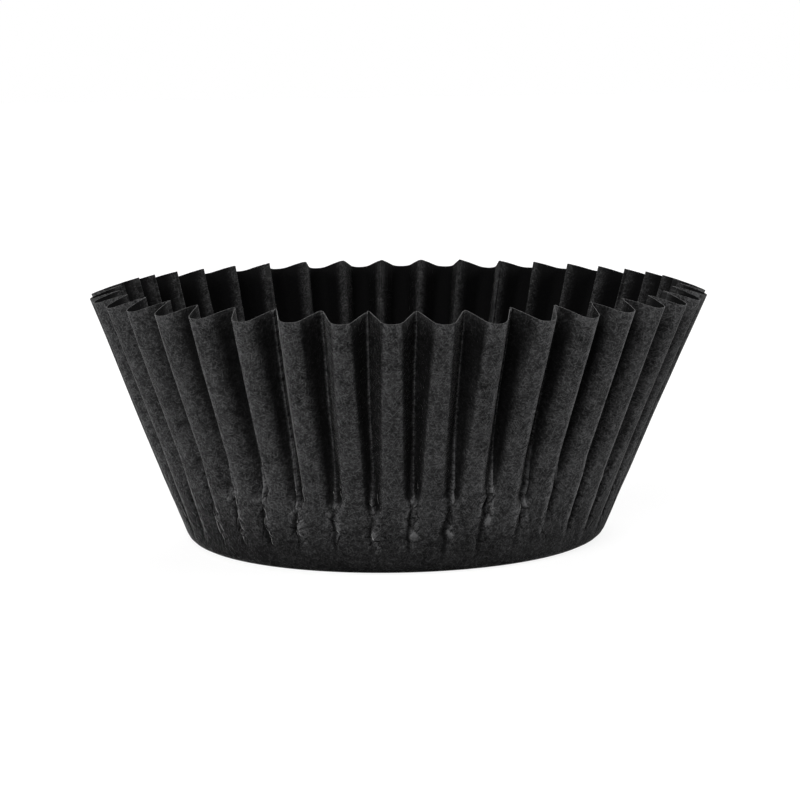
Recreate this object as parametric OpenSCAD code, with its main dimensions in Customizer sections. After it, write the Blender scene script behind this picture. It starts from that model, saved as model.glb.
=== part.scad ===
// Pleated paper baking cup: one round of paper, pressed into a fluted wall around a flat base.
// The pleats take up the paper that is left over as the flat round becomes a steep cone, so they
// start from nothing at the base and their folds run straight up to a scalloped rim.

/* [Paper] */
// Thickness of the paper
paper_t = 0.08; // [0.06:0.01:0.2]

/* [Cup] */
// Diameter of the base, measured where its corner would be sharp
base_d = 50.3; // [46:0.1:60]
// Diameter of the rim over the crests of the pleats
rim_d = 74.6; // [66:0.1:86]
// Height of the rim at the crests, on the outside
crest_h = 29.7; // [22:0.1:45]
// Radius of the bend between the base and the wall, at the middle of the paper
corner_r = 2; // [1:0.1:3]

/* [Pleats] */
// Number of pleats
pleats = 40; // [28:2:44]
// Width of each rounded crest at the rim
crest_w = 2.2; // [1.4:0.1:2.6]
// Height of the rounding on each crest at the rim
crest_rise = 0.3; // [0.1:0.05:0.6]
// Width of each valley between two pleats
valley_w = 0.45; // [0.3:0.05:0.6]

/* [Hidden] */

// Black, through-dyed paper
paper_colour = "#2a2a2b";

// Only whole pleats close around the cup
pleat_count = round(pleats);

// The corner bend runs from the base to the wall, touching each this far from the sharp corner
flare = atan((rim_d - base_d) / 2 / crest_h);
bend_angle = 90 - flare;
bend_run = corner_r * tan(bend_angle / 2);
bend_steps = 3;

// The sheet is drawn by its middle surface, half a thickness inside the outer sizes above
half_t = paper_t / 2;
base_r = base_d / 2 - half_t * tan(bend_angle / 2);
slant = (crest_h - half_t * (1 - sin(flare))) / cos(flare);

// Points on one pleat: the crest's arc, and one on each side of the valley
arc_steps = 6;
wall_steps = 3;
pleat_points = arc_steps + 3;
ring_points = pleat_count * pleat_points;
ring_count = bend_steps + wall_steps + 1;

function degrees_of(arc, radius) = arc / radius * 180 / PI;
function unit(v) = v / norm(v);

// Radius of the crests at a distance up the slant, and the width that a pleat has on a radius
function crest_r(up) = base_r + up * sin(flare);
function pitch(radius) = 2 * PI * radius / pleat_count;

// At the rim a flank is as long as the flat round leaves it, over the run that it has on the cone
rim_r = crest_r(slant);
crest_arc = crest_w + 8 / 3 * crest_rise ^ 2 / crest_w;
flank_length = (pitch(base_r + slant) - crest_arc - valley_w) / 2;
function flank_drop(radius) =
    sqrt(flank_length ^ 2 - ((pitch(radius) - crest_w - valley_w) / 2) ^ 2);
rim_depth = crest_rise + flank_drop(rim_r - flank_drop(rim_r) / 2);

// A point pushed in by a pleat also rises, because the paper's slant keeps its length
function fold_rise(up, inward) =
    sqrt(up ^ 2 - (up * sin(flare) - inward) ^ 2) - up * cos(flare);

// A ring of the sheet, as its crests' radius and height, and its distance up the slant
function bend_ring(part) =
    let (turn = bend_angle * part)
    [base_r - bend_run + corner_r * sin(turn), corner_r * (1 - cos(turn)), bend_run * part];
function wall_ring(part) =
    let (up = bend_run + (slant - bend_run) * part)
    [crest_r(up), up * cos(flare), up];
function ring(j) =
    j <= bend_steps ? bend_ring(j / bend_steps) : wall_ring((j - bend_steps) / wall_steps);

// One point of a pleat, as its angle from the middle of the crest and its depth below the crest.
// The folds run straight from the corner to the rim, so every size opens in proportion to that.
function crest_point(across, radius, open) =
    let (width = pitch(radius) - valley_w - open * (pitch(rim_r) - valley_w - crest_w))
    [degrees_of(width * across, radius), crest_rise * open * (2 * across) ^ 2];
function valley_point(side, radius, open) =
    let (depth = rim_depth * open)
    [side * (180 / pleat_count - degrees_of(valley_w / 2, radius - depth)), depth];
function pleat_point(k, radius, open) =
    k == 0 ? valley_point(-1, radius, open)
    : k == pleat_points - 1 ? valley_point(1, radius, open)
    : crest_point((k - 1) / arc_steps - 0.5, radius, open);

// The sheet's middle surface, as a point for each place around each ring
function sheet_point(i, j) =
    let (
        at = ring(j),
        p = pleat_point(i % pleat_points, at[0], at[2] / slant),
        angle = floor(i / pleat_points) * 360 / pleat_count + p[0],
        radius = at[0] - p[1]
    )
    [radius * cos(angle), radius * sin(angle), half_t + at[1] + fold_rise(at[2], p[1])];
sheet = [for (j = [0:ring_count - 1]) [for (i = [0:ring_points - 1]) sheet_point(i, j)]];

// Direction along the sheet at a bend of its outline: its length falls as the bend sharpens
function through(before, here, after) =
    here == before ? unit(after - here)
    : here == after ? unit(here - before)
    : (unit(here - before) + unit(after - here)) / 2;

// Offset from the middle surface to the outer skin, mitred so that the paper keeps its thickness
function skin_offset(i, j) =
    j == 0 ? [0, 0, -half_t]
    : let (
        here = sheet[j][i],
        around = through(
            sheet[j][(i + ring_points - 1) % ring_points], here, sheet[j][(i + 1) % ring_points]
        ),
        upward = through(sheet[j - 1][i], here, sheet[min(j + 1, ring_count - 1)][i])
    )
    unit(cross(around, upward)) * half_t / norm(around) / norm(upward);
offsets = [for (j = [0:ring_count - 1]) [for (i = [0:ring_points - 1]) skin_offset(i, j)]];

// Number of a point in the solid: all of the outer skin comes first, then all of the inner one
function number(skin, i, j) = (skin * ring_count + j) * ring_points + i % ring_points;

// Two triangles between neighbouring points, facing out on the outer skin and in on the inner one
function panel(a, b, c, d) = [[a, b, c], [a, c, d]];
function outer_panel(i, j) =
    panel(number(0, i, j), number(0, i, j + 1), number(0, i + 1, j + 1), number(0, i + 1, j));
function inner_panel(i, j) =
    panel(number(1, i, j), number(1, i + 1, j), number(1, i + 1, j + 1), number(1, i, j + 1));
function rim_panel(i) =
    let (top = ring_count - 1)
    panel(number(0, i, top), number(1, i, top), number(1, i + 1, top), number(0, i + 1, top));

module liner() {
    color(paper_colour)
        polyhedron(
            points = [
                for (skin = [0, 1], j = [0:ring_count - 1], i = [0:ring_points - 1])
                    sheet[j][i] + (skin == 0 ? 1 : -1) * offsets[j][i]
            ],
            faces = concat(
                [[for (i = [0:ring_points - 1]) number(0, i, 0)]],
                [[for (i = [ring_points - 1:-1:0]) number(1, i, 0)]],
                [for (j = [0:ring_count - 2], i = [0:ring_points - 1]) each outer_panel(i, j)],
                [for (j = [0:ring_count - 2], i = [0:ring_points - 1]) each inner_panel(i, j)],
                [for (i = [0:ring_points - 1]) each rim_panel(i)]
            )
        );
}

liner();
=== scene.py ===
"""A pleated baking cup of black paper, folded in mesh code from one flat round."""

import math
import random

import bmesh
import bpy
from bpy.props import FloatProperty, FloatVectorProperty, IntProperty, PointerProperty
from mathutils import Matrix, Vector, noise


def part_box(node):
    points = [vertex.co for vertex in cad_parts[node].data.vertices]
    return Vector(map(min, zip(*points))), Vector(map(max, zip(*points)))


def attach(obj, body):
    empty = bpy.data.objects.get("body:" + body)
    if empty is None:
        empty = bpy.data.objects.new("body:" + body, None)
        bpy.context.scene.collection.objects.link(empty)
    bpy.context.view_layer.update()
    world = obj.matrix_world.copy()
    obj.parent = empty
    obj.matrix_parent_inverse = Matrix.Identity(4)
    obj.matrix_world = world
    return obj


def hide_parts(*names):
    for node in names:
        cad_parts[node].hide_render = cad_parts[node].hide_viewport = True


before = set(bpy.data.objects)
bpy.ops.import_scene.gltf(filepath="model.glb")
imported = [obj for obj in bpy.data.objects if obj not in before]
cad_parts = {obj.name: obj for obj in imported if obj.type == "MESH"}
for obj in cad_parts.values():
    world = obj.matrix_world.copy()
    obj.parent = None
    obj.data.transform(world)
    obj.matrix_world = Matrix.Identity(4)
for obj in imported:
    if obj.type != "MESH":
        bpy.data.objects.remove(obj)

bl_info = {
    "name": "Pleated Baking Cup",
    "version": (1, 0, 0),
    "blender": (4, 5, 0),
    "location": "3D View > Sidebar > Baking Cup",
    "description": "Folds a flat round of black paper into a fluted baking cup",
    "category": "Add Mesh",
}

MM = 0.001
NODE = "liner"
LOWEST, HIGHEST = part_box(NODE)


class CupSizes(bpy.types.PropertyGroup):
    """Sizes of the cup, as its press makes it."""

    rim_diameter: FloatProperty(
        name="Rim Diameter",
        description="Width of the rim over the crests of the pleats",
        default=HIGHEST[0] - LOWEST[0],
        subtype="DISTANCE",
        unit="LENGTH",
    )
    base_diameter: FloatProperty(
        name="Base Diameter",
        description="Width of the base, measured where its corner would be sharp",
        default=50.3 * MM,
        subtype="DISTANCE",
        unit="LENGTH",
    )
    crest_height: FloatProperty(
        name="Crest Height",
        description="Height of the rim at the crests",
        default=29.7 * MM,
        subtype="DISTANCE",
        unit="LENGTH",
    )
    corner_radius: FloatProperty(
        name="Corner Radius",
        description="Radius of the bend between the base and the wall",
        default=2.0 * MM,
        subtype="DISTANCE",
        unit="LENGTH",
    )
    paper_thickness: FloatProperty(
        name="Paper Thickness",
        description="Thickness of the paper",
        default=0.08 * MM,
        subtype="DISTANCE",
        unit="LENGTH",
    )
    pleats: IntProperty(
        name="Pleats",
        description="Number of pleats around the wall",
        default=40,
        min=12,
    )
    crest_width: FloatProperty(
        name="Crest Width",
        description="Width of a crest at the rim",
        default=2.1 * MM,
        subtype="DISTANCE",
        unit="LENGTH",
    )
    pinch_angle: FloatProperty(
        name="Pinch Angle",
        description="How steeply the pleats fold in low on the wall, where they are pinched shut",
        default=math.radians(56),
        subtype="ANGLE",
    )
    valley_width: FloatProperty(
        name="Valley Width",
        description="Width of the bottom of an open valley, low on the wall",
        default=0.50 * MM,
        subtype="DISTANCE",
        unit="LENGTH",
    )
    rim_shift: FloatProperty(
        name="Rim Shift",
        description="How far the rim stands to the right of the base",
        default=0.77 * MM,
        subtype="DISTANCE",
        unit="LENGTH",
    )
    rim_tilt: FloatProperty(
        name="Rim Tilt",
        description="How far the rim leans down to the right",
        default=math.radians(0.45),
        subtype="ANGLE",
    )
    seed: IntProperty(
        name="Seed",
        description="Which set of small irregularities the paper shows",
        default=7,
    )


class PaperFinish(bpy.types.PropertyGroup):
    """Colours and gloss of the paper."""

    # Dye and fibre are the ends of the paper's colour; painted light, shade and highlights move it
    # between them, as do rubbing and fibres
    dye: FloatVectorProperty(
        name="Dye",
        description="Colour of the paper where it is untouched",
        default=(0.0016, 0.0016, 0.0017),
        subtype="COLOR",
        size=3,
    )
    fibre: FloatVectorProperty(
        name="Fibre",
        description="Colour of the paler fibres in the paper",
        default=(0.105, 0.105, 0.107),
        subtype="COLOR",
        size=3,
    )
    edge: FloatVectorProperty(
        name="Cut Edge",
        description="Colour of the cut edge along the rim",
        default=(0.045, 0.045, 0.045),
        subtype="COLOR",
        size=3,
    )
    roughness: FloatProperty(
        name="Roughness",
        description="Roughness of the paper between its fibres",
        default=0.8,
        subtype="FACTOR",
        min=0.0,
        max=1.0,
    )


class Studio(bpy.types.PropertyGroup):
    """Camera and lamps."""

    camera_distance: FloatProperty(
        name="Camera Distance",
        description="From the camera to the point that it looks at",
        default=304.98 * MM,
        subtype="DISTANCE",
        unit="LENGTH",
    )
    camera_elevation: FloatProperty(
        name="Camera Elevation",
        description="Height of the camera above the horizon, as an angle",
        default=math.radians(7.913),
        subtype="ANGLE",
    )
    camera_roll: FloatProperty(
        name="Camera Roll",
        description="How far the picture is turned, its right side up",
        default=math.radians(0.887),
        subtype="ANGLE",
    )
    lens: FloatProperty(
        name="Lens",
        description="Focal length in millimetres on a 36 mm sensor",
        default=112.25,
    )
    left_strength: FloatProperty(
        name="Left Strength",
        description="Strength of the broad soft light from the left",
        default=2.15,
    )
    right_strength: FloatProperty(
        name="Right Strength",
        description="Strength of the broad soft light from the right",
        default=2.75,
    )
    front_strength: FloatProperty(
        name="Front Strength",
        description="Strength of the light from above the camera",
        default=2.35,
    )
    back_strength: FloatProperty(
        name="Back Strength",
        description="Strength of the light from behind",
        default=1.8,
    )
    surroundings: FloatProperty(
        name="Surroundings",
        description="Strength of the light that comes from all around",
        default=0.12,
    )


def blend(low, high, value):
    """0 at or below low, 1 at or above high, and smooth between them."""
    part = min(max((value - low) / (high - low), 0.0), 1.0)
    return part * part * (3 - 2 * part)


def hump(distance, width):
    """1 at no distance, falling off smoothly over about the width."""
    return math.exp(-((distance / width) ** 2))


class CrestLine:
    """The section that the crests follow, from the middle of the flat round to the rim."""

    def __init__(self, sizes):
        half = sizes.paper_thickness / 2
        reach = (sizes.rim_diameter - sizes.base_diameter) / 2
        self.flare = math.atan(reach / sizes.crest_height)
        self.turn = math.pi / 2 - self.flare
        self.lift = half
        self.base = sizes.base_diameter / 2 - half * math.tan(self.turn / 2)
        slant = (sizes.crest_height - half * (1 - math.sin(self.flare))) / math.cos(self.flare)
        self.corner = sizes.corner_radius
        self.run = self.corner * math.tan(self.turn / 2)
        self.bend_start = self.base - self.run
        self.bend_end = self.bend_start + self.corner * self.turn
        self.edge = self.bend_end + slant - self.run
        self.slant = slant

    def at(self, flat):
        """Radius, height and distance up the slant, of paper this far out on the flat round."""
        if flat <= self.bend_start:
            return flat, 0.0, 0.0
        if flat < self.bend_end:
            angle = (flat - self.bend_start) / self.corner
            radius = self.bend_start + self.corner * math.sin(angle)
            return radius, self.corner * (1 - math.cos(angle)), self.run * angle / self.turn
        up = self.run + flat - self.bend_end
        return self.base + up * math.sin(self.flare), up * math.cos(self.flare), up

    def fold_rise(self, up, inward):
        """How far a pleat lifts the paper that it pushes in, because the slant keeps its length."""
        level = up * math.sin(self.flare) - inward
        return math.sqrt(max(up * up - level * level, 0.0)) - up * math.cos(self.flare)


# Edges across half a pleat, from the middle of its crest to the middle of the valley beside it
CREST_EDGES = 4
SHOULDER_EDGES = 3
FLANK_EDGES = 2
BEND_EDGES = 2
FLOOR_EDGES = 2
HALF_EDGES = CREST_EDGES + SHOULDER_EDGES + FLANK_EDGES + BEND_EDGES + FLOOR_EDGES
PLEAT_EDGES = 2 * HALF_EDGES

# Rings of points around the corner's bend, the foot of the wall, its crumpled part and the part up
# to the rim, and how far beyond the bend the crumpled part starts and ends
BEND_RINGS = 4
FOOT_RINGS = 3
CRUMPLED_RINGS = 29
UPPER_RINGS = 8
CRUMPLED_START = 1.3 * MM
CRUMPLED_END = 9.7 * MM

# Gaps between two rings: on the base beside its bend, and along the cut edge
BASE_GAP = 0.6 * MM
EDGE_GAP = 0.07 * MM

# Bends of half a pleat: the crest's slope where its shoulder starts, half of each bend's length, and
# the most that a bend takes of its flank and of half the valley's floor
CREST_SLOPE = math.radians(13)
SHOULDER_BEND = 0.18 * MM
RIM_SHOULDER_BEND = 0.55 * MM
VALLEY_BEND = 0.15 * MM
FLANK_SHARE = 0.4
FLOOR_SHARE = 0.8

# Flat parts of half a pleat: the shortest flank, the floor where the fold is pinched, the share of
# the floor that is left at the rim, and how much wider a crest is at the base
SHORTEST_FLANK = 0.42 * MM
PINCHED_FLOOR = 0.20 * MM
RIM_FLOOR_SHARE = 0.7
CREST_SPREAD = 0.15 * MM

# The flank's slope is found by halving the span between the crest's slope and the steepest
STEEPEST = math.radians(89)
HALVINGS = 24

# Angle of the crest that faces the camera, how far each fold lies off its even place, and how far
# to the left the neat valleys are turned, all in radians
FIRST_CREST = -0.017
UNEVEN_ANGLE = 0.006
NEAT_TURN = 0.1

# Height at which the folds of the sides end
SIDE_END = 2.6 * MM

# Valleys of the front, counted to the right from the middle one: the knot's height and bulge, and
# the height and bulge of the blister below it, in millimetres
FRONT_VALLEYS = {
    -7: (10.4, 0.04, 8.4, 0.03),
    -6: (11.0, 0.10, 9.0, 0.03),
    -5: (8.6, 0.12, 6.9, 0.05),
    -4: (8.4, 0.05, 6.0, 0.03),
    -3: (8.0, 0.10, 5.4, 0.08),
    -2: (8.2, 0.14, 5.8, 0.08),
    -1: (7.4, 0.07, 4.6, 0.05),
    0: (8.9, 0.17, 4.9, 0.25),
    1: (8.5, 0.12, 4.9, 0.22),
    2: (9.8, 0.22, 6.1, 0.20),
    3: (7.6, 0.22, 5.0, 0.04),
    4: (10.0, 0.03, 6.0, 0.03),
    5: (11.3, 0.06, 8.0, 0.02),
}


def spread(start, end, steps):
    """Even steps from start to end, without the start."""
    return [start + (end - start) * (i + 1) / steps for i in range(steps)]


class HalfPleat:
    """The fold from the middle of a crest to the middle of a valley, on one ring of the paper.

    The paper keeps its length, so the flank's slope follows from how much the ring has shrunk."""

    def __init__(self, sizes, line, half_angle, flat, opened):
        self.radius, _, up = line.at(flat)
        self.half_angle = half_angle
        length = half_angle * flat
        spare = max(length - half_angle * self.radius, 0.0)
        share = up / line.slant
        floor = sizes.valley_width * (1 - (1 - RIM_FLOOR_SHARE) * share)
        floor = PINCHED_FLOOR + (floor - PINCHED_FLOOR) * opened
        crest = sizes.crest_width + CREST_SPREAD * (1 - share)
        pinched = spare / (1 - math.cos(sizes.pinch_angle))
        flank = pinched + (length - (floor + crest) / 2 - pinched) * opened
        flank = max(flank, SHORTEST_FLANK)
        shoulder = length - floor / 2 - flank
        foot = shoulder + flank
        bend = SHOULDER_BEND + (RIM_SHOULDER_BEND - SHOULDER_BEND) * share**4
        bend = min(bend, FLANK_SHARE * flank)
        toe = min(VALLEY_BEND, FLANK_SHARE * flank, FLOOR_SHARE * floor / 2)
        self.places = [0.0]
        self.places += spread(0.0, shoulder - bend, CREST_EDGES)
        self.places += spread(shoulder - bend, shoulder + bend, SHOULDER_EDGES)
        self.places += spread(shoulder + bend, foot - toe, FLANK_EDGES)
        self.places += spread(foot - toe, foot + toe, BEND_EDGES)
        self.places += spread(foot + toe, length, FLOOR_EDGES)
        self.crest_slope = CREST_SLOPE * min(spare / SHORTEST_FLANK, 1.0)
        low, high = self.crest_slope, STEEPEST
        for _ in range(HALVINGS):
            middle = (low + high) / 2
            if self.trace(middle)[0][-1] > half_angle:
                low = middle
            else:
                high = middle
        turned, self.inward = self.trace(low)
        self.part = [angle / turned[-1] for angle in turned]

    def slopes(self, steep):
        """The paper's slope at each place, if its flank has this one."""
        slopes = [0.0]
        slopes += spread(0.0, self.crest_slope, CREST_EDGES)
        slopes += spread(self.crest_slope, steep, SHOULDER_EDGES)
        slopes += [steep] * FLANK_EDGES
        slopes += spread(steep, 0.0, BEND_EDGES)
        slopes += [0.0] * FLOOR_EDGES
        return slopes

    def trace(self, steep):
        """How far around the cup and how far in the paper has come at each place."""
        slopes = self.slopes(steep)
        turned, inward = [0.0], [0.0]
        for i in range(HALF_EDGES):
            step = self.places[i + 1] - self.places[i]
            middle = (slopes[i] + slopes[i + 1]) / 2
            deeper = inward[-1] + step * math.sin(middle)
            radius = self.radius - (inward[-1] + deeper) / 2
            turned.append(turned[-1] + step * math.cos(middle) / radius)
            inward.append(deeper)
        return turned, inward


class Crest:
    """The small irregularities of one crest: its angle, how far it stands out, and its rim's rise."""

    def __init__(self, draw, angle):
        self.angle = angle + draw.uniform(-UNEVEN_ANGLE, UNEVEN_ANGLE)
        self.stand = draw.uniform(-0.10, 0.10) * MM
        self.rim = draw.uniform(-0.12, 0.12) * MM


class Pucker:
    """A small bump in the crumpled paper beside a fold. Its measures are given in millimetres."""

    def __init__(self, aside, height, wide, tall, size):
        self.aside = aside * MM
        self.height = height * MM
        self.wide = wide * MM
        self.tall = tall * MM
        self.size = size * MM

    def at(self, aside, height):
        """How far the bump stands out at a point."""
        return self.size * hump(aside - self.aside, self.wide) * hump(height - self.height, self.tall)


class Valley:
    """The small irregularities of one valley, whose fold is crumpled low on the wall.

    High up the fold is an open trough. Lower down its floor stands out more and more, as a ridge
    between two slits, and ends in a knot. Below that only one slit goes on, with a blister beside
    it, and fades towards the base. The valleys of the left and the right are neater."""

    def __init__(self, draw, number, before, after):
        self.angle = (before + after) / 2 + draw.uniform(-UNEVEN_ANGLE, UNEVEN_ANGLE)
        self.depth = draw.uniform(1.04, 1.12)
        sideways = abs(math.sin(self.angle + NEAT_TURN))
        neat = blend(0.45, 0.75, sideways)
        self.rough = rough = 1 - 0.75 * neat
        knot = draw.uniform(7.4, 9.4) + 2.2 * neat
        blister = knot - draw.uniform(2.2, 4.6)
        drawn = knot, draw.uniform(0.03, 0.20) * rough, blister, draw.uniform(0.02, 0.26) * rough
        knot, knot_bulge, blister, blister_bulge = FRONT_VALLEYS.get(number, drawn)
        self.knot = knot * MM
        self.end = self.knot - draw.uniform(1.4, 4.6) * MM
        self.end += (SIDE_END - self.end) * blend(0.62, 0.85, sideways)
        self.slit = draw.uniform(0.12, 0.42) * (1 - neat) + 0.85 * neat
        self.closed = 0.8 * (1 - 0.85 * neat)
        self.dip = draw.uniform(0.10, 0.25) * rough * MM
        self.dip_wide = draw.uniform(0.32, 0.46) * MM
        # How pale its floor is above the knot: rubbing and painted highlight
        self.wear_and_highlight = draw.uniform(0.25, 1.0)
        self.ridge_size = 0.76 * (1 - 0.7 * neat)
        self.ridge_tall = draw.uniform(4.5, 9.5) * MM
        self.ridge_wide = draw.uniform(0.28, 0.42) * MM
        self.open_side = 1 if number in FRONT_VALLEYS else draw.choice((1, 1, 1, -1))
        self.step = -self.open_side * draw.uniform(0.10, 0.48) * rough * MM
        self.spread = draw.uniform(0.20, 0.50)
        sharp = (1 - 0.95 * neat) * MM
        self.creases = [draw.uniform(0.02, 0.16) * sharp, draw.uniform(0.02, 0.16) * sharp]
        self.phase = draw.uniform(0, 100)
        self.puckers = [Pucker(draw.uniform(-0.10, 0.30), knot, 0.20, 0.30, knot_bulge)]
        aside = self.open_side * draw.uniform(0.25, 0.60)
        self.puckers += [Pucker(aside, blister, 0.26, draw.uniform(0.35, 0.7), blister_bulge)]
        tall, bulge = draw.uniform(1.2, 2.0), draw.uniform(0.03, 0.12) * rough
        self.puckers += [Pucker(aside, blister - 0.2, 0.42, tall, bulge)]
        for _ in range(4):
            place = draw.gauss(0, 0.5), knot - draw.uniform(-1.5, 5.0)
            size = draw.uniform(0.12, 0.26), draw.uniform(0.2, 0.6)
            self.puckers += [Pucker(*place, *size, draw.uniform(-0.10, 0.14) * rough)]

    def opened(self, height):
        """How far the fold is open at a height: 0 where it is pinched shut and 1 for the trough."""
        return blend(self.knot - 1.0 * MM, self.knot + 1.0 * MM, height)

    def fold(self, aside, height):
        """The share of its depth that the fold keeps, this far to the right of its middle."""
        pinched = 1 - self.opened(height)
        share = self.depth * (1 + (self.slit - 1) * pinched)
        share *= blend(self.end - 1.6 * MM, self.end + 2.2 * MM, height)
        closed = blend(-0.30 * MM, 0.55 * MM, aside * self.open_side)
        return share * (1 - self.closed * pinched * closed)

    def ridge(self, aside, height):
        """The share of the depth by which the floor stands out of the fold above its knot."""
        reach = blend(self.knot - 0.7 * MM, self.knot, height)
        reach *= 1 - blend(self.knot, self.knot + self.ridge_tall, height)
        uneven = 1 + 0.4 * noise.noise((self.phase, 5, height / (0.9 * MM)))
        return reach * self.ridge_size * uneven * hump(aside, self.ridge_wide)

    def shift(self, height):
        """How far the fold lies to the side at a height."""
        step = self.step * (1 - blend(self.knot - 1.9 * MM, self.knot + 0.2 * MM, height))
        step += 0.20 * MM * (1 - blend(11 * MM, 20 * MM, height))
        low = 1 - blend(9 * MM, 14 * MM, height)
        wander = noise.noise((self.phase, 0, height / (1.5 * MM)))
        return step + (0.08 + 0.22 * low * self.rough) * MM * wander

    def puckered(self, aside, height):
        """How far the bumps beside the fold stand out, this far to its right."""
        return sum(pucker.at(aside, height) for pucker in self.puckers)

    def creased(self, aside, height):
        """How far the two creases stand out that run down and apart from the knot."""
        below = self.knot - height
        if below < 0:
            return 0.0
        beside = abs(aside) - 0.15 * MM - self.spread * below
        crease = self.creases[aside > 0]
        return crease * hump(beside, 0.17 * MM) * hump(below - 1.6 * MM, 1.4 * MM)

    def hollow(self, aside, height):
        """How deep the paper dips around the pinched part of the fold."""
        low = blend(0.2 * MM, 5 * MM, height)
        low *= 1 - blend(self.knot - 2 * MM, self.knot + 1 * MM, height)
        return self.dip * hump(aside + 0.15 * self.open_side * MM, self.dip_wide) * low


# Light on the outer side: how deep it reaches into a fold in front, and how much deeper at the
# sides, and how much of it is lost in a fold, in a fold of the sides, in a hollow and at the foot
FRONT_REACH = 0.55 * MM
SIDE_REACH = 1.65 * MM
FOLD_SHADE = 0.84
SIDE_FOLD_SHADE = 0.38
HOLLOW_SHADE = 0.58
FOOT_SHADE = 0.53

# Light on the inner side: on the base and on the wall, and how much of it is lost in a fold
INNER_BASE_LIGHT = 0.8
INNER_WALL_LIGHT = 0.5
INNER_FOLD_SHADE = 0.48

# Paleness: on a valley's floor high up, rubbing and painted light; above its knot, on a ridge, and on
# a bump by its size and by its square in millimetres, rubbing and painted highlight; on the outer
# shoulders of the sides and along the rim, painted highlight
FLOOR_WEAR_AND_LIGHT = 1.3
KNOT_FLOOR_WEAR_AND_HIGHLIGHT = 2.1
RIDGE_WEAR_AND_HIGHLIGHT = 0.3
BUMP_WEAR_AND_HIGHLIGHT = 3.5
BLISTER_WEAR_AND_HIGHLIGHT = 25
SHOULDER_HIGHLIGHT = 2.7
RIM_HIGHLIGHT = 0.25


def outer_light(angle, height, inward, hollow):
    """How much light the outer side gets: less in the folds and the hollows, and at the foot."""
    rightward = math.sin(angle)
    sideways = abs(rightward)
    deeper = SIDE_REACH - 0.25 * MM * max(rightward, 0.0)
    reach = FRONT_REACH + deeper * blend(0.15, 0.78, sideways)
    shade = FOLD_SHADE + (SIDE_FOLD_SHADE - FOLD_SHADE) * blend(0.70, 0.90, sideways)
    light = 1 - shade * blend(0.06 * MM, reach, inward)
    foot = 1 - blend(0.3 * MM, (9 + 7 * sideways) * MM, height)
    light *= 1 - (FOOT_SHADE + 0.08 * sideways - 0.09 * rightward) * foot
    return light * (1 - HOLLOW_SHADE * blend(0.01 * MM, 0.17 * MM, hollow))


def inner_light(height, inward, deepest):
    """How much light the inner side gets: most on the base and on the ridges between the pleats."""
    ridge = blend(0.6, 1.0, inward / deepest) if deepest > 0.1 * MM else 1.0
    wall = blend(0.5 * MM, 6 * MM, height)
    light = INNER_BASE_LIGHT + (INNER_WALL_LIGHT - INNER_BASE_LIGHT) * wall
    return light - INNER_FOLD_SHADE * blend(2 * MM, 12 * MM, height) * (1 - ridge)


def floor_wear_and_light(fold, edge, deepest, height):
    """Paleness on the floor of a valley, where the fold is open: rubbing and painted light."""
    high = blend(11 * MM, 20 * MM, height)
    floor = hump(HALF_EDGES - edge, 2.7) * blend(0.2 * MM, 0.6 * MM, deepest)
    floor *= FLOOR_WEAR_AND_LIGHT * high + KNOT_FLOOR_WEAR_AND_HIGHLIGHT * fold.wear_and_highlight * (1 - high)
    return floor * fold.opened(height)


def bump_wear_and_highlight(bumps, ridge):
    """Paleness on what stands out of the wall: rubbing and a painted highlight."""
    bump = max(bumps, 0.0) / MM
    return RIDGE_WEAR_AND_HIGHLIGHT * ridge + BUMP_WEAR_AND_HIGHLIGHT * bump + BLISTER_WEAR_AND_HIGHLIGHT * bump**2


def shoulder_highlight_and_wear(angle, height, edge, side):
    """Rubbed and painted-highlight paleness on shoulders, most on those facing out at the sides."""
    rightward = math.sin(angle)
    outward = min(max(side * rightward, 0.0), 0.85)
    shoulder = hump(edge - CREST_EDGES - 0.1, 1.2) * blend(1 * MM, 7 * MM, height)
    return (0.04 + (SHOULDER_HIGHLIGHT + 1.6 * rightward) * outward**3) * shoulder


def crumpling(aside, height):
    """How sharply the paper is creased: low on the wall, and most beside the folds."""
    low = blend(1.5 * MM, 4 * MM, height) * (1 - blend(8.5 * MM, 12 * MM, height))
    return low * (0.2 + 0.8 * hump(aside, 0.9 * MM))


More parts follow.
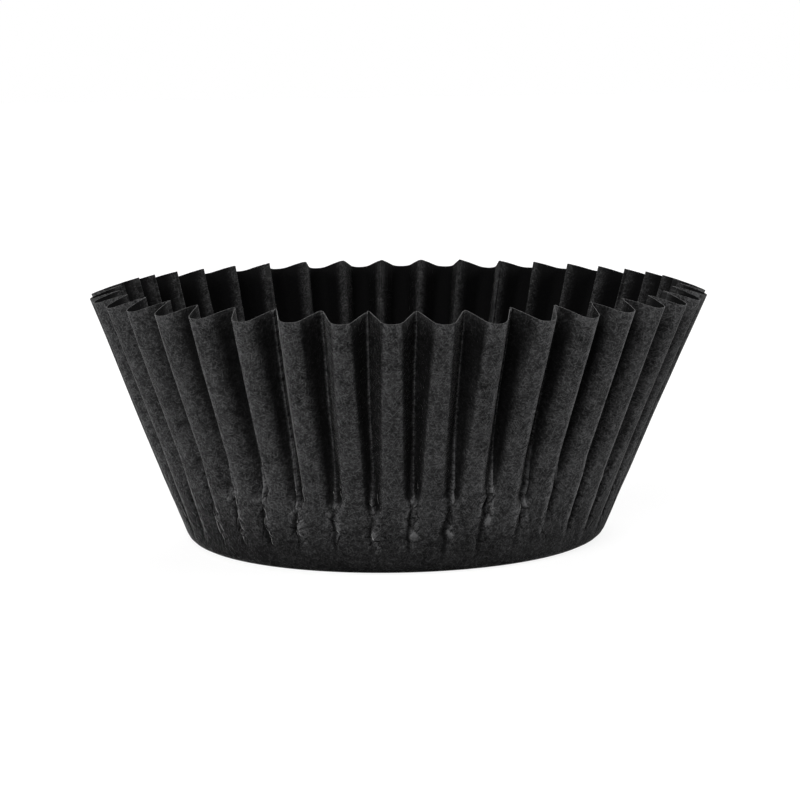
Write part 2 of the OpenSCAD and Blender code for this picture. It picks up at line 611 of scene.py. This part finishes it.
class FoldedPaper:
    """Where each point of the flat round goes as the press folds it."""

    def __init__(self, sizes):
        self.sizes = sizes
        self.line = CrestLine(sizes)
        self.count = sizes.pleats
        draw = random.Random(sizes.seed)
        pitch = 2 * math.pi / self.count
        self.crests = [Crest(draw, FIRST_CREST + i * pitch) for i in range(self.count)]
        crests = [crest.angle for crest in self.crests]
        crests.append(crests[0] + 2 * math.pi)
        self.valleys = []
        for i in range(self.count):
            number = i if i < self.count / 2 else i - self.count
            self.valleys.append(Valley(draw, number, crests[i], crests[i + 1]))
        self.folds = {}

    def rings(self):
        """Distances from the middle of the round at which it has a ring of points."""
        line = self.line
        start, end = line.bend_end + CRUMPLED_START, line.bend_end + CRUMPLED_END
        rings = [line.bend_start - BASE_GAP, line.bend_start]
        rings += spread(line.bend_start, line.bend_end, BEND_RINGS)
        rings += spread(line.bend_end, start, FOOT_RINGS)
        rings += spread(start, end, CRUMPLED_RINGS)
        rings += spread(end, line.edge - EDGE_GAP, UPPER_RINGS)
        return rings + [line.edge]

    def half(self, crest, valley, side, ring, flat):
        """The half pleat between a crest and a valley on a ring, worked out once."""
        key = (crest, side, ring)
        if key not in self.folds:
            gap = (self.valleys[valley].angle - self.crests[crest].angle) * side
            gap %= 2 * math.pi
            opened = self.valleys[valley].opened(self.line.at(flat)[1])
            self.folds[key] = HalfPleat(self.sizes, self.line, gap, flat, opened)
        return self.folds[key]

    def place(self, column, ring, flat):
        """A point's places in the flat round and in the cup, and its tones by their names."""
        line = self.line
        pleat, edge = divmod(column, PLEAT_EDGES)
        crest, side = pleat, 1
        if edge > HALF_EDGES:
            crest, side, edge = (pleat + 1) % self.count, -1, PLEAT_EDGES - edge
        radius, height, up = line.at(flat)
        half = self.half(crest, pleat, side, ring, flat)
        fold, mark = self.valleys[pleat], self.crests[crest]
        part, deepest = half.part[edge], half.inward[-1]
        aside = -side * (1 - part) * half.half_angle * radius
        ridge = fold.ridge(aside, height)
        inward = half.inward[edge] * fold.fold(aside, height) * (1 - ridge)
        near = blend(0.25, 0.95, part)
        angle = mark.angle + side * half.half_angle * part + near * fold.shift(height) / radius
        bumps = fold.puckered(aside, height) + fold.creased(aside, height)
        hollow = fold.hollow(aside, height)
        out = bumps - hollow
        out += mark.stand * (1 - near) * blend(3 * MM, 20 * MM, height)
        out += self.waves(angle, height)
        radius += out * math.cos(line.flare) - inward
        rise = line.fold_rise(up, inward) - out * math.sin(line.flare)
        rise += mark.rim * (1 - part) * blend(0.5, 1.0, up / line.slant)
        spot = self.skewed(angle, radius, height, rise)
        turned = mark.angle + side * half.places[edge] / flat
        before = Vector((flat * math.sin(turned), -flat * math.cos(turned), 0))
        wear_and_highlight = floor_wear_and_light(fold, edge, deepest, height) + bump_wear_and_highlight(bumps, ridge)
        wear_and_highlight += shoulder_highlight_and_wear(angle, height, edge, side)
        # Painted highlight along the lip under the rim
        wear_and_highlight += RIM_HIGHLIGHT * blend(line.edge - 0.8 * MM, line.edge, flat)
        # Tones that colour the paper: painted light and shade on each side, rubbing and painted
        # highlights
        tones = {
            "outside": outer_light(angle, height, inward, hollow),
            "inside": inner_light(height, inward, deepest),
            "wear_and_highlight": wear_and_highlight,
            "crumpled": crumpling(aside, height),
        }
        return before, spot, tones

    def skewed(self, angle, radius, height, rise):
        """A point of the cup, once its rim is shifted and tilted and it stands on its base."""
        share = height / self.sizes.crest_height
        spot = Vector((radius * math.sin(angle), -radius * math.cos(angle), height + rise))
        spot.z -= math.tan(self.sizes.rim_tilt) * spot.x * share
        spot.x += self.sizes.rim_shift * share
        spot.z += self.line.lift
        return spot

    def waves(self, angle, height):
        """The paper's own unevenness: broad and faint high up, crumpled low on the wall."""
        low = blend(0.6 * MM, 4 * MM, height) * (1 - blend(8 * MM, 13 * MM, height))
        wall = blend(1 * MM, 6 * MM, height)
        seam = Vector((math.sin(angle), math.cos(angle), 0)) * self.line.base

        def wave(across, along, start):
            """Noise whose waves are this many millimetres wide around the wall and up it."""
            return noise.noise(seam / (across * MM) + Vector((*start, height / (along * MM))))

        broad, soft, fine = wave(9, 16, (0, 0)), wave(1.5, 4, (9, 0)), wave(0.8, 1.8, (5, 3))
        fine *= 0.11 - 0.08 * blend(0.50, 0.85, abs(math.sin(angle)))
        return (wall * (0.16 * broad + 0.035 * soft) + low * fine) * MM


def ring_order(part):
    """Sorts the edges or faces of the flat round: ring by ring, and by their angle on each."""
    middle = sum((vert.co for vert in part.verts), Vector()) / len(part.verts)
    return 10 * round(middle.length / (0.001 * MM)) + math.atan2(middle.y, middle.x)


def flat_round(rings, columns):
    """A bmesh of the flat round: one point in the middle, and one for each column on each ring."""
    mesh = bmesh.new()
    bmesh.ops.create_circle(mesh, cap_ends=True, cap_tris=True, segments=columns, radius=rings[0])
    border = [edge for edge in mesh.edges if edge.is_boundary]
    for before, after in zip(rings, rings[1:]):
        made = bmesh.ops.extrude_edge_only(mesh, edges=border)["geom"]
        corners = [part for part in made if isinstance(part, bmesh.types.BMVert)]
        border = [part for part in made if isinstance(part, bmesh.types.BMEdge) and part.is_boundary]
        grow = after / before
        bmesh.ops.scale(mesh, vec=(grow, grow, 1), verts=corners)
    mesh.edges.sort(key=ring_order)
    mesh.faces.sort(key=ring_order)
    return mesh


def fold_round(sizes):
    """A bmesh of the round, folded. Its points keep their place in the flat round, and tones."""
    paper = FoldedPaper(sizes)
    rings = paper.rings()
    columns = sizes.pleats * PLEAT_EDGES
    mesh = flat_round(rings, columns)
    layers = mesh.verts.layers
    flat_place = layers.float_vector.new("flat_place")
    for name in ("outside", "inside", "wear_and_highlight", "crumpled"):
        layers.float.new(name)
    step = 2 * math.pi / columns
    for vert in mesh.verts:
        flat = vert.co.xy.length
        if flat < rings[0] / 2:
            vert.co = (0, 0, paper.line.lift)
            vert[layers.float["outside"]] = 1.0
            vert[layers.float["inside"]] = INNER_BASE_LIGHT
            continue
        ring = min(range(len(rings)), key=lambda i: abs(rings[i] - flat))
        column = round(math.atan2(vert.co.x, -vert.co.y) / step) % columns
        vert[flat_place], vert.co, tones = paper.place(column, ring, rings[ring])
        for name, tone in tones.items():
            vert[layers.float[name]] = tone
    mesh.normal_update()
    floor = min(mesh.faces, key=lambda face: face.calc_center_median().xy.length)
    if floor.normal.z > 0:
        bmesh.ops.reverse_faces(mesh, faces=mesh.faces)
    return mesh


# Sockets of a node that mixes colours: the factor, both colours, and the result
MIX_FACTOR = 0
MIX_LOW = 6
MIX_HIGH = 7
MIX_RESULT = 2

# Widths of the marks in the paper, and the directions in degrees of its three sets of threads
CLOUD = 2.4 * MM
MOTTLE = 0.60 * MM
GRAIN = 0.24 * MM
THREAD = 0.15 * MM
CREASE_PATCH = 1.4 * MM
THREAD_TURNS = (12, 70, 131)


class Signal:
    """A node's output that can stand in a sum, so that shader maths reads as plain expressions."""

    def __init__(self, tree, socket):
        self.tree = tree
        self.socket = socket

    def maths(self, operation, *values):
        """One step of the shader maths, on numbers and signals."""
        node = self.tree.nodes.new("ShaderNodeMath")
        node.operation = operation
        for place, value in enumerate(values):
            if isinstance(value, Signal):
                self.tree.links.new(value.socket, node.inputs[place])
            else:
                node.inputs[place].default_value = value
        return Signal(self.tree, node.outputs[0])

    def __add__(self, other):
        return self.maths("ADD", self, other)

    def __sub__(self, other):
        return self.maths("SUBTRACT", self, other)

    def __rsub__(self, other):
        return self.maths("SUBTRACT", other, self)

    def __mul__(self, other):
        return self.maths("MULTIPLY", self, other)

    def greater(self, other):
        return self.maths("MAXIMUM", self, other)

    def above(self, low, high):
        """0 up to low and 1 from high on, smooth between them."""
        node = self.tree.nodes.new("ShaderNodeMapRange")
        node.interpolation_type = "SMOOTHSTEP"
        self.tree.links.new(self.socket, node.inputs["Value"])
        node.inputs["From Min"].default_value = low
        node.inputs["From Max"].default_value = high
        return Signal(self.tree, node.outputs["Result"])

    __radd__ = __add__
    __rmul__ = __mul__


class Shader:
    """The node tree of a material or a world, built by calls."""

    def __init__(self, owner):
        owner.use_nodes = True
        self.tree = owner.node_tree
        self.tree.nodes.clear()

    def node(self, kind, settings=None, inputs=None, output=0):
        """Makes a node, its settings first, then its sockets' values or links. Gives one output."""
        node = self.tree.nodes.new(kind)
        for name, value in (settings or {}).items():
            setattr(node, name, value)
        for name, value in (inputs or {}).items():
            if isinstance(value, Signal):
                self.tree.links.new(value.socket, node.inputs[name])
            else:
                node.inputs[name].default_value = value
        return Signal(self.tree, node.outputs[output]) if node.outputs else node

    def noise(self, place, size, detail=2.0, turn=0.0, stretch=1.0):
        """Noise from 0 to 1 on the flat paper, with blots of about this size in metres."""
        mapping = {"vector_type": "TEXTURE"}
        inputs = {"Vector": place, "Rotation": (0, 0, turn), "Scale": (size * stretch, size, size)}
        place = self.node("ShaderNodeMapping", mapping, inputs)
        inputs = {"Vector": place, "Scale": 1.0, "Detail": detail, "Roughness": 0.6}
        return self.node("ShaderNodeTexNoise", {"noise_dimensions": "2D"}, inputs)

    def creases(self, place, size):
        """0 to 1 where sharp creases run between patches of about this size in metres."""
        inputs = {"Vector": place, "Scale": 1 / size}
        settings = {"voronoi_dimensions": "2D", "feature": "DISTANCE_TO_EDGE"}
        edge = self.node("ShaderNodeTexVoronoi", settings, inputs, output="Distance")
        return 1 - edge.above(0.0, 0.16)

    def colour(self, low, high, factor):
        """A colour between two others."""
        inputs = {MIX_FACTOR: factor, MIX_LOW: (*low, 1.0), MIX_HIGH: (*high, 1.0)}
        return self.node("ShaderNodeMix", {"data_type": "RGBA"}, inputs, output=MIX_RESULT)


def black_paper(finish, name, painted_light_attribute, gloss, wear_and_highlight_share):
    """Matt black paper, mottled and fibrous, with painted light, shade and highlights, and rubbing."""
    material = bpy.data.materials.new(name)
    shader = Shader(material)
    flat = shader.node("ShaderNodeAttribute", {"attribute_name": "flat_place"}, output="Vector")
    # open_side carries the painted light and shade of one side of the paper
    open_side = shader.node("ShaderNodeAttribute", {"attribute_name": painted_light_attribute}, output="Fac")
    wear_and_highlight = shader.node("ShaderNodeAttribute", {"attribute_name": "wear_and_highlight"}, output="Fac")
    crumpled = shader.node("ShaderNodeAttribute", {"attribute_name": "crumpled"}, output="Fac")
    clouds = shader.noise(flat, CLOUD)
    mottle = shader.noise(flat, MOTTLE, 3.0)
    grain = shader.noise(flat, GRAIN, 1.0)
    threads = [
        shader.noise(flat, THREAD, 1.0, math.radians(turn), 5.5).above(0.60, 0.72)
        for turn in THREAD_TURNS
    ]
    threads = threads[0].greater(threads[1]).greater(threads[2])
    # The creases: a bump, and painted shade that darkens the colour along them
    creases = shader.creases(flat, CREASE_PATCH) * crumpled
    pale = 0.35 + 0.38 * (clouds - 0.5) + 0.36 * (mottle - 0.5) + 0.42 * (grain - 0.5)
    uneven = (mottle - 0.5) + 0.8 * (grain - 0.5)
    open_side = (open_side + 0.12 * uneven).above(-0.1, 1.0)
    wear_and_highlight = wear_and_highlight * (1 + 0.9 * uneven)
    # Paleness scaled by the painted light and shade, plus rubbing and painted highlights
    pale = (pale + 0.30 * threads - 0.15 * creases) * (open_side + wear_and_highlight_share * wear_and_highlight)
    pale = pale.above(-0.04, 1.1)
    colour = shader.colour(finish.dye, finish.fibre, pale)
    height = 0.5 * mottle + 0.35 * grain + 0.25 * threads - 2.5 * creases
    bump = shader.node(
        "ShaderNodeBump",
        inputs={"Strength": 0.95, "Distance": 0.05 * MM, "Height": height},
    )
    paper = shader.node(
        "ShaderNodeBsdfPrincipled",
        inputs={
            "Base Color": colour,
            "Roughness": finish.roughness + 0.2 * (mottle - 0.5),
            "Normal": bump,
            "IOR": 1.45,
            "Specular IOR Level": gloss,
            "Sheen Weight": 5 * gloss,
            "Sheen Roughness": 0.15,
        },
    )
    shader.node("ShaderNodeOutputMaterial", inputs={"Surface": paper})
    return material


def cut_edge(finish):
    """The cut through the paper, dyed all the way, with torn fibres."""
    material = bpy.data.materials.new("cut_edge")
    shader = Shader(material)
    place = shader.node("ShaderNodeTexCoord", output="Object")
    torn = shader.node("ShaderNodeTexNoise", inputs={"Vector": place, "Scale": 1 / (0.2 * MM)})
    colour = shader.colour(finish.dye, finish.edge, torn.above(0.3, 0.7))
    paper = shader.node("ShaderNodeBsdfPrincipled", inputs={"Base Color": colour, "Roughness": 0.9})
    shader.node("ShaderNodeOutputMaterial", inputs={"Surface": paper})
    return material


def show(mesh, name):
    """Puts a mesh in the scene as an object at the origin."""
    thing = bpy.data.objects.new(name, mesh)
    bpy.context.scene.collection.objects.link(thing)
    return thing


# Folds sharper than this are shaded as two faces, and the others as one
SHARP = math.radians(70)


class CUP_OT_fold_liner(bpy.types.Operator):
    """Fold a flat round of paper into the pleated liner"""

    bl_idname = "baking_cup.fold_liner"
    bl_label = "Fold Liner"

    def execute(self, context):
        sizes = context.scene.cup_sizes
        folded = fold_round(sizes)
        mesh = bpy.data.meshes.new("folded_liner")
        folded.to_mesh(mesh)
        folded.free()
        liner = show(mesh, "folded_liner")
        paper = liner.modifiers.new("paper", "SOLIDIFY")
        paper.thickness = sizes.paper_thickness
        paper.offset = 0
        paper.use_even_offset = True
        paper.use_quality_normals = True
        paper.material_offset = 1
        paper.material_offset_rim = 2
        finish = context.scene.cup_finish
        for made in (
            black_paper(finish, "black_paper", "outside", gloss=0.07, wear_and_highlight_share=1.0),
            black_paper(finish, "black_paper_inside", "inside", gloss=0.03, wear_and_highlight_share=0.0),
            cut_edge(finish),
        ):
            mesh.materials.append(made)
        solid = bpy.data.meshes.new_from_object(liner.evaluated_get(context.evaluated_depsgraph_get()))
        liner.modifiers.clear()
        liner.data = solid
        solid.name = "folded_liner"
        solid.shade_smooth()
        solid.set_sharp_from_angle(angle=SHARP)
        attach(liner, "root")
        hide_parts(NODE)
        return {"FINISHED"}


# Degrees of each lamp to the right of the camera and above the horizon, and its width in degrees
LEFT_LAMP = (-84, 14, 40)
RIGHT_LAMP = (84, 14, 40)
FRONT_LAMP = (-18, 34, 36)
BACK_LAMP = (170, 36, 40)

# The point that the camera looks at, and the nearest and farthest that it shows
AIM = Vector((0.754 * MM, 0, 16.49 * MM))
NEAREST = 10 * MM
FARTHEST = 20

# The floor's half width, the grey that takes the shadow, and the glow that makes the rest white
FLOOR_HALF = 3.0
FLOOR_GREY = 0.22
FLOOR_GLOW = 0.84


class CUP_OT_set_stage(bpy.types.Operator):
    """Set the floor, the lamps and the camera"""

    bl_idname = "baking_cup.set_stage"
    bl_label = "Set Stage"

    def execute(self, context):
        studio = context.scene.cup_studio
        scene = context.scene
        scene.view_settings.view_transform = "Standard"
        self.set_world(scene, studio)
        self.lay_floor()
        self.hang_lamp("left", *LEFT_LAMP, studio.left_strength)
        self.hang_lamp("right", *RIGHT_LAMP, studio.right_strength)
        self.hang_lamp("front", *FRONT_LAMP, studio.front_strength)
        self.hang_lamp("back", *BACK_LAMP, studio.back_strength)
        self.stand_camera(scene, studio)
        return {"FINISHED"}

    def set_world(self, scene, studio):
        """White surroundings, which light the object less than they show."""
        scene.world = bpy.data.worlds.new("surroundings")
        shader = Shader(scene.world)
        kinds = ("Is Camera Ray", "Is Glossy Ray", "Is Transmission Ray")
        camera, glossy, passed = (shader.node("ShaderNodeLightPath", output=kind) for kind in kinds)
        seen = camera.greater(glossy).greater(passed)
        strength = studio.surroundings + (1 - studio.surroundings) * seen
        light = shader.node("ShaderNodeBackground", inputs={"Color": (1, 1, 1, 1), "Strength": strength})
        shader.node("ShaderNodeOutputWorld", inputs={"Surface": light})

    def lay_floor(self):
        """A pale floor that keeps the object's shadow and is white beyond it."""
        mesh = bmesh.new()
        bmesh.ops.create_grid(mesh, x_segments=1, y_segments=1, size=FLOOR_HALF)
        data = bpy.data.meshes.new("floor")
        mesh.to_mesh(data)
        mesh.free()
        floor = show(data, "floor")
        material = bpy.data.materials.new("pale_floor")
        shader = Shader(material)
        seen = shader.node("ShaderNodeLightPath", output="Is Camera Ray")
        grey = (FLOOR_GREY, FLOOR_GREY, FLOOR_GREY, 1)
        matt = shader.node("ShaderNodeBsdfDiffuse", inputs={"Color": grey})
        white = {"Color": (1, 1, 1, 1), "Strength": FLOOR_GLOW * seen}
        glow = shader.node("ShaderNodeEmission", inputs=white)
        both = shader.node("ShaderNodeAddShader", inputs={0: matt, 1: glow})
        shader.node("ShaderNodeOutputMaterial", inputs={"Surface": both})
        data.materials.append(material)

    def hang_lamp(self, name, aside, high, width, strength):
        """A soft light, this many degrees to the right of the camera, above the horizon and wide."""
        lamp = bpy.data.lights.new(name, "SUN")
        lamp.angle = math.radians(width)
        lamp.energy = strength
        hung = bpy.data.objects.new(name, lamp)
        hung.rotation_euler = (math.radians(90 - high), 0, math.radians(aside))
        bpy.context.scene.collection.objects.link(hung)

    def stand_camera(self, scene, studio):
        """The camera, at the height, distance and turn that the picture was taken from."""
        high = studio.camera_elevation
        back = Vector((0, -math.cos(high), math.sin(high)))
        right = Vector((1, 0, 0))
        turn = Matrix.Rotation(-studio.camera_roll, 3, back)
        right = turn @ right
        up = back.cross(right)
        lens = bpy.data.cameras.new("camera")
        lens.lens = studio.lens
        lens.sensor_width = 36
        lens.clip_start = NEAREST
        lens.clip_end = FARTHEST
        camera = bpy.data.objects.new("camera", lens)
        turned = Matrix((right, up, back)).transposed().to_4x4()
        camera.matrix_world = Matrix.Translation(AIM + back * studio.camera_distance) @ turned
        scene.collection.objects.link(camera)
        scene.camera = camera


class CUP_PT_panel(bpy.types.Panel):
    """Lists the steps that build the cup"""

    bl_label = "Baking Cup"
    bl_idname = "CUP_PT_panel"
    bl_space_type = "VIEW_3D"
    bl_region_type = "UI"
    bl_category = "Baking Cup"

    def draw(self, context):
        for group in (context.scene.cup_sizes, context.scene.cup_finish, context.scene.cup_studio):
            for name in group.__annotations__:
                self.layout.prop(group, name)
        self.layout.operator(CUP_OT_fold_liner.bl_idname)
        self.layout.operator(CUP_OT_set_stage.bl_idname)


CLASSES = (CupSizes, PaperFinish, Studio, CUP_OT_fold_liner, CUP_OT_set_stage, CUP_PT_panel)


def register():
    for made in CLASSES:
        bpy.utils.register_class(made)
    bpy.types.Scene.cup_sizes = PointerProperty(type=CupSizes)
    bpy.types.Scene.cup_finish = PointerProperty(type=PaperFinish)
    bpy.types.Scene.cup_studio = PointerProperty(type=Studio)


def unregister():
    del bpy.types.Scene.cup_studio
    del bpy.types.Scene.cup_finish
    del bpy.types.Scene.cup_sizes
    for made in reversed(CLASSES):
        bpy.utils.unregister_class(made)


def main():
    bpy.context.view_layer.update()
    register()
    bpy.ops.baking_cup.fold_liner()
    bpy.ops.baking_cup.set_stage()


if __name__ == "__main__":
    main()
